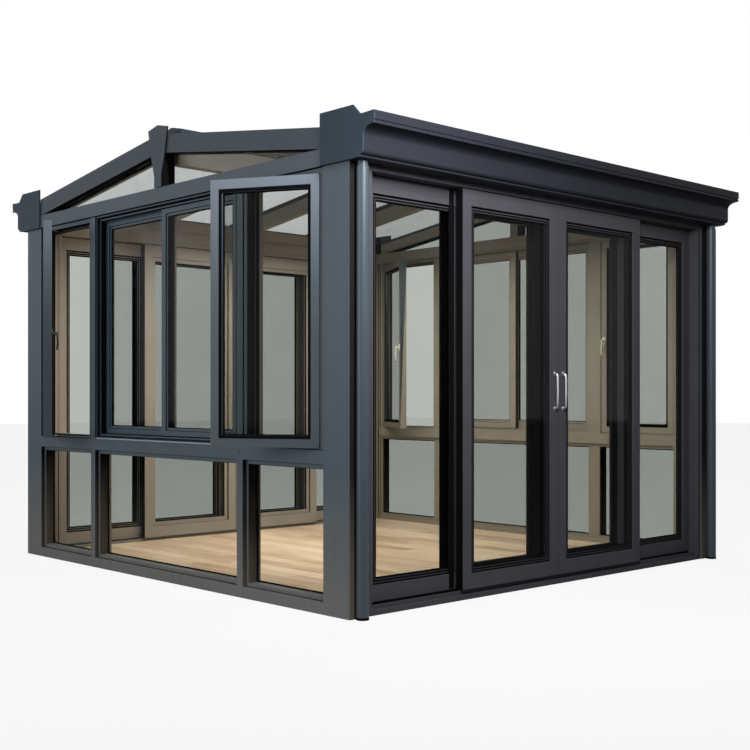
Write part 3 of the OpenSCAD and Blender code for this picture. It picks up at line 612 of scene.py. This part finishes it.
def casement_places(side):
    if side == "left":
        return [hung(left, OPEN_OUT, False), hung(flipped(left, WALL_D), OPEN_FAR, False)]
    return [hung(right, 0.0, True), hung(flipped(right, WALL_D), OPEN_IN, True)]


def seal_ring(shape, wall, s0, s1, z0, z1, a, b, d, thick=0.0008):
    """Flat black seal round a rectangle, from inset a to b, just in front of depth d."""
    shape.ring(wall, s0, s1, z0, z1, [(a, d + 0.0004), (a, d - thick), (b, d - thick), (b, d + 0.0004)])


def window_gaskets_and_shade():
    bays = ((POST_W, SIDE_BAY), (MULLION_A + MULLION_W, MIDDLE_BAY), (MULLION_B + MULLION_W, SIDE_BAY))
    for side, wall in (("left", left), ("right", right)):
        shape = Shape()
        for place in casement_places(side):
            # Black strip over the whole casement bead: partly gasket, partly painted shade of the recess.
            glazing(shape, place, CASE_W, CASE_H, CASE_T, SASH, CASE_HEAD, SASH, BEAD, CASE_SET, PANE,
                    ((0.0, BEAD),), 0.006)
        outer = shifted(wall, MULLION_A + MULLION_W + SLIDE_EDGE, SLIDE_Z, SLIDE_OUTER)
        inner = shifted(wall, MULLION_B - SLIDE_EDGE - SLIDE_W, SLIDE_Z, SLIDE_INNER)
        for place in (outer, inner):
            glazing(shape, place, SLIDE_W, SLIDE_H, SLIDE_T, SASH, SASH, SASH, BEAD, SLIDE_SET, PANE,
                    ((0.0, 0.003),), 0.005)
        for s, w in bays:
            edge = LOW_FRAME + 2 * HAIR
            pane = MULLION_T - PANE - 0.006
            shape.ring(wall, s + edge, s + w - edge, BOTTOM_RAIL + edge, BOTTOM_RAIL + LOW_H - edge,
                       [(-0.0005, pane + 0.001), (-0.0005, pane - 0.006), (0.004, pane - 0.006),
                        (0.008, pane - 0.001), (0.008, pane + 0.001)])
            seal_ring(shape, wall, s, s + w, SILL_TOP, POST_H, 0.0003, 0.0040, FRAME_INSET)
            seal_ring(shape, wall, s, s + w, BOTTOM_RAIL, BOTTOM_RAIL + LOW_H, 0.0003, 0.0035, 0.024)
        s, w = bays[1]
        seal_ring(shape, wall, s, s + w, SILL_TOP, POST_H, 0.0125, FRAME_STEP, FRAME_INSET)
        seal_ring(shape, wall, s, s + w, SILL_TOP, POST_H, FRAME_STEP, 0.0235, 0.026)
        seal_ring(shape, wall, s, s + w, SILL_TOP, POST_H, 0.0330, 0.0400, 0.026, 0.0010)
        step = FRAME_STEP + HAIR
        shape.ring(wall, s + step, s + w - step, SILL_TOP + step, POST_H - step,
                   [(-0.0002, 0.0315), (0.0003, 0.0315), (0.0003, 0.1080), (-0.0002, 0.1080)])
        shape.piece(f"{side}_window_gaskets_and_shade", gasket)


def joint_plugs():
    """Small black plugs over the screws where the mullions meet the sill rail."""
    shape = Shape()
    for wall in (left, right):
        for s in (MULLION_A, MULLION_B):
            centre = wall(s + MULLION_W / 2, SILL_TOP - SILL_H / 2, 0.0)
            out = (wall(s, SILL_TOP, -0.1) - wall(s, SILL_TOP, 0.0)).normalized()
            shape.lathe(centre, out, [(0.0050, -0.0010), (0.0050, 0.0003), (0.0042, 0.0007), (0.0012, 0.0008)], 16)
    shape.piece("joint_plugs", gasket, smooth=40)


def sill_highlight_strips():
    """Painted highlight: a light strip along the sill's top edge under each gable wall's sliding window."""
    for side, wall in (("left", left), ("right", right)):
        s0 = MULLION_A + MULLION_W + 0.004
        shape = Shape()
        shape.bar(wall, s0, s0 + MIDDLE_BAY - 0.008, SILL_TOP + 0.0004, SILL_TOP + 0.0075, 0.0012, 0.0112, 0.0015)
        shape.piece(f"{side}_sill_highlight_strip", sill_highlight_paint, smooth=30)


def roof_seals():
    """Rubber strips along the glazing caps and the ridge cap."""
    shape = Shape()
    for flat in (left, flipped(left, WALL_D)):
        for i in range(1, ROOF_BAYS):
            for side in (-1, 1):
                edge = cap_line(i) + side * CAP_HALF
                loops = []
                for s in (TROUGH_IN - CAP_START, MID - RIDGE_HALF - 0.001):
                    base = rafter_top(s) - GLASS_SEAT + CAP_FOOT
                    loops.append([flat(s, base + z, edge + side * d)
                                  for d, z in ((-0.002, 0.0), (0.006, 0.0), (0.0045, 0.003), (-0.002, 0.005))])
                shape.sweep(loops)
        loops = []
        for d in (RIDGE_END, WALL_L - RIDGE_END):
            s = MID - RIDGE_HALF
            base = rafter_top(s) - GLASS_SEAT + CAP_FOOT
            loops.append([flat(s + ds, base + z, d)
                          for ds, z in ((0.002, 0.0), (-0.006, -0.0006), (-0.0045, 0.003), (0.002, 0.006))])
        shape.sweep(loops)
    shape.piece("roof_seals", gasket)


def cap_screws():
    """Domed screws along the glazing caps."""
    shape = Shape()
    for flat, tilt in ((left, Vector((0, -PITCH, 1))), (flipped(left, WALL_D), Vector((0, PITCH, 1)))):
        tilt = tilt.normalized()
        for i in range(1, ROOF_BAYS):
            for k in range(SCREWS):
                s = TROUGH_IN + SCREW_START + k * SCREW_STEP
                top = flat(s, rafter_top(s) - GLASS_SEAT + CAP_TOP, cap_line(i))
                shape.lathe(top, tilt, [(0.0085, -0.0004), (0.0085, 0.0006), (0.0062, 0.0008), (0.0060, 0.0032),
                                        (0.0035, 0.0044), (0.0010, 0.0046)], 14)
    shape.piece("cap_screws", steel, slot="pull_steel", smooth=40)


def pipe_feet():
    """Short dark collars at the foot and head of each rainwater pipe."""
    shape = Shape()
    for mx in (-1, 1):
        for my in (-1, 1):
            foot = Vector((mx * (WALL_L / 2 - PIPE_IN), my * (WALL_D / 2 + PIPE_OUT), 0.0))
            shape.lathe(foot, Vector((0, 0, 1)), [(0.0315, 0.0), (0.0345, 0.0003), (0.0345, 0.012), (0.0330, 0.014),
                                                  (0.0325, 0.014)], 32)
            shape.lathe(foot, Vector((0, 0, 1)), [(0.0300, PIPE_HEAD), (0.0334, PIPE_HEAD + 0.0002),
                                                  (0.0334, PIPE_HEAD + 0.0010), (0.0300, PIPE_HEAD + 0.0014)], 32)
    shape.piece("pipe_collars", gasket, slot="gutter_paint", smooth=40)


def window_levers():
    """Lever handles: rose plate, neck and a tapering grip."""
    for side in ("left", "right"):
        shape = Shape()
        for place in casement_places(side):
            x, y = CASE_W - SASH / 2 - 0.004, CASE_H * 0.48
            out = (place(x, y, 0.1) - place(x, y, 0.0)).normalized()
            across = (place(x + 0.1, y, 0.0) - place(x, y, 0.0)).normalized()
            up = Vector((0, 0, 1))
            face = place(x, y, CASE_T)
            outline = []
            for k in range(24):
                t = 2 * math.pi * k / 24
                outline.append((0.013 * math.cos(t), 0.013 * math.sin(t) + (0.019 if math.sin(t) >= 0 else -0.019)))
            shape.sweep([[face + across * (a * f) + up * (b * f) + out * d for a, b in outline]
                         for f, d in ((1.0, 0.0003), (1.0, 0.006), (0.93, 0.008))])
            shape.lathe(face, out, [(0.0105, 0.007), (0.0098, 0.011), (0.0082, 0.016), (0.0082, 0.026),
                                    (0.0098, 0.034), (0.0088, 0.0385), (0.004, 0.0395)], 18)
            path = [face + out * 0.032 - up * z + out * (0.004 * math.sin(z / 0.115 * math.pi))
                    for z in (-0.008, -0.005, 0.0, 0.012, 0.03, 0.05, 0.07, 0.09, 0.103, 0.109, 0.112)]
            shape.tube(path, [0.004, 0.0075, 0.0092, 0.0088, 0.0082, 0.0084, 0.0088, 0.009, 0.0082, 0.0062, 0.003],
                       14, 0.72, up=out)
        piece = shape.piece(f"{side}_window_levers", cream if side == "right" else dark_enamel,
                            slot="lever_cream", smooth=50)
        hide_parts(f"{side}_window_handles")


def pull_handles():
    """D-shaped pull handles of flat bar on round flanges, on both faces of each meeting stile."""
    half, reach = PULL_L / 2, 0.023
    bend = ((0.0, 0.002), (0.0, 0.010), (0.002, 0.017), (0.007, 0.0215), (0.014, reach), (0.030, reach + 0.001))
    up = Vector((0, 0, 1))
    for wall_name, wall in (("front", front), ("rear", rear)):
        for hand, place in (("left", wall), ("right", flipped(wall, WALL_L))):
            shape = Shape()
            u = MOVING_U + PULL_U
            for face, sign in ((OUTER_D, -1), (OUTER_D + LEAF_T, 1)):
                root = place(u, PULL_Z, face)
                out = (place(u, PULL_Z, face + sign) - root).normalized()
                across = (place(u + 0.1, PULL_Z, face) - root).normalized()
                path = [root + up * (a - half) + out * d for a, d in bend]
                path.append(root + out * (reach + 0.002))
                path += [root + up * (half - a) + out * d for a, d in reversed(bend)]
                shape.tube(path, [0.0045] * len(path), 20, 1.9, up=across)
                for z in (-half, half):
                    shape.lathe(root + up * z, out, [(0.0110, 0.0002), (0.0110, 0.0018), (0.0098, 0.0028),
                                                     (0.0060, 0.0030)], 20)
            body = f"{wall_name}_{hand}_door"
            piece = shape.piece(f"{wall_name}_{hand}_pull_bars", steel, body=body, slot="pull_steel", smooth=40)
            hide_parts(f"{wall_name}_{hand}_pull")


def studio():
    """White to the camera and in reflections, dim as a light, with a pale floor and soft lamps."""
    world = bpy.data.worlds.new("studio")
    bpy.context.scene.world = world
    world.use_nodes = True
    tree = world.node_tree
    tree.nodes.clear()
    new, link = tree.nodes.new, tree.links.new
    out, mix, ray = new("ShaderNodeOutputWorld"), new("ShaderNodeMixShader"), new("ShaderNodeLightPath")
    plain, white = new("ShaderNodeBackground"), new("ShaderNodeBackground")
    add, more = new("ShaderNodeMath"), new("ShaderNodeMath")
    for node in (add, more):
        node.operation = "ADD"
        node.use_clamp = True
    plain.inputs["Color"].default_value = (0.90, 0.95, 1.0, 1.0)
    plain.inputs["Strength"].default_value = 0.065
    white.inputs["Color"].default_value = (1.0, 1.0, 1.0, 1.0)
    white.inputs["Strength"].default_value = 1.0
    link(ray.outputs["Is Camera Ray"], add.inputs[0])
    link(ray.outputs["Is Glossy Ray"], add.inputs[1])
    link(add.outputs[0], more.inputs[0])
    link(ray.outputs["Is Transmission Ray"], more.inputs[1])
    link(more.outputs[0], mix.inputs[0])
    link(plain.outputs[0], mix.inputs[1])
    link(white.outputs[0], mix.inputs[2])
    link(mix.outputs[0], out.inputs["Surface"])

    pale_ground()
    for lamp_row in LAMPS:
        lamp(*lamp_row)


def pale_ground():
    """Floor that looks white to the camera and still takes the shadow."""
    n = Nodes("pale_floor")
    grain = n.noise(n.point(), 3.0)
    shade = n.add("ShaderNodeBsdfDiffuse", Color=n.mix(grain, (0.44, 0.44, 0.44, 1.0), (0.46, 0.46, 0.46, 1.0)))
    glow = n.add("ShaderNodeEmission", Color=(1.0, 1.0, 1.0, 1.0), Strength=1.0)
    seen = n.math("MULTIPLY", n.add("ShaderNodeLightPath").outputs["Is Camera Ray"], 0.90)
    both = n.add("ShaderNodeMixShader", Fac=seen)
    n.feed(both, "I1", shade.outputs[0])
    n.feed(both, "I2", glow.outputs[0])
    mesh = bpy.data.meshes.new("studio_floor")
    wide, drop = 40, -0.001
    mesh.from_pydata([(-wide, -wide, drop), (wide, -wide, drop), (wide, wide, drop), (-wide, wide, drop)], [],
                     [(0, 1, 2, 3)])
    mesh.materials.append(n.finish(both.outputs[0]))
    ground = bpy.data.objects.new("studio_floor", mesh)
    bpy.context.scene.collection.objects.link(ground)


def lamp(name, place, target, size, power, colour, in_mirrors):
    """Soft round lamp that the camera doesn't see."""
    light = bpy.data.lights.new(name, "AREA")
    light.shape = "DISK"
    light.size = size
    light.energy = power
    light.color = colour
    obj = bpy.data.objects.new(name, light)
    obj.location = place
    obj.rotation_euler = (Vector(target) - Vector(place)).to_track_quat("-Z", "Y").to_euler()
    obj.visible_camera = False
    obj.visible_glossy = in_mirrors
    bpy.context.scene.collection.objects.link(obj)


def camera():
    data = bpy.data.cameras.new("camera")
    data.sensor_width = 36.0
    data.lens = LENS
    data.shift_y = SHIFT
    data.clip_end = 200.0
    obj = bpy.data.objects.new("camera", data)
    obj.location = CAMERA_AT
    obj.rotation_euler = (math.radians(90.0), 0.0, math.radians(CAMERA_TURN))
    bpy.context.scene.collection.objects.link(obj)
    bpy.context.scene.camera = obj


camera()
studio()
dress_nodes()
floor_planks()
door_gaskets_and_shade()
brush_seals_and_shade_strips()
screen_nets()
window_gaskets_and_shade()
joint_plugs()
sill_highlight_strips()
roof_seals()
cap_screws()
pipe_feet()
window_levers()
pull_handles()

bpy.context.scene.view_settings.view_transform = "Standard"
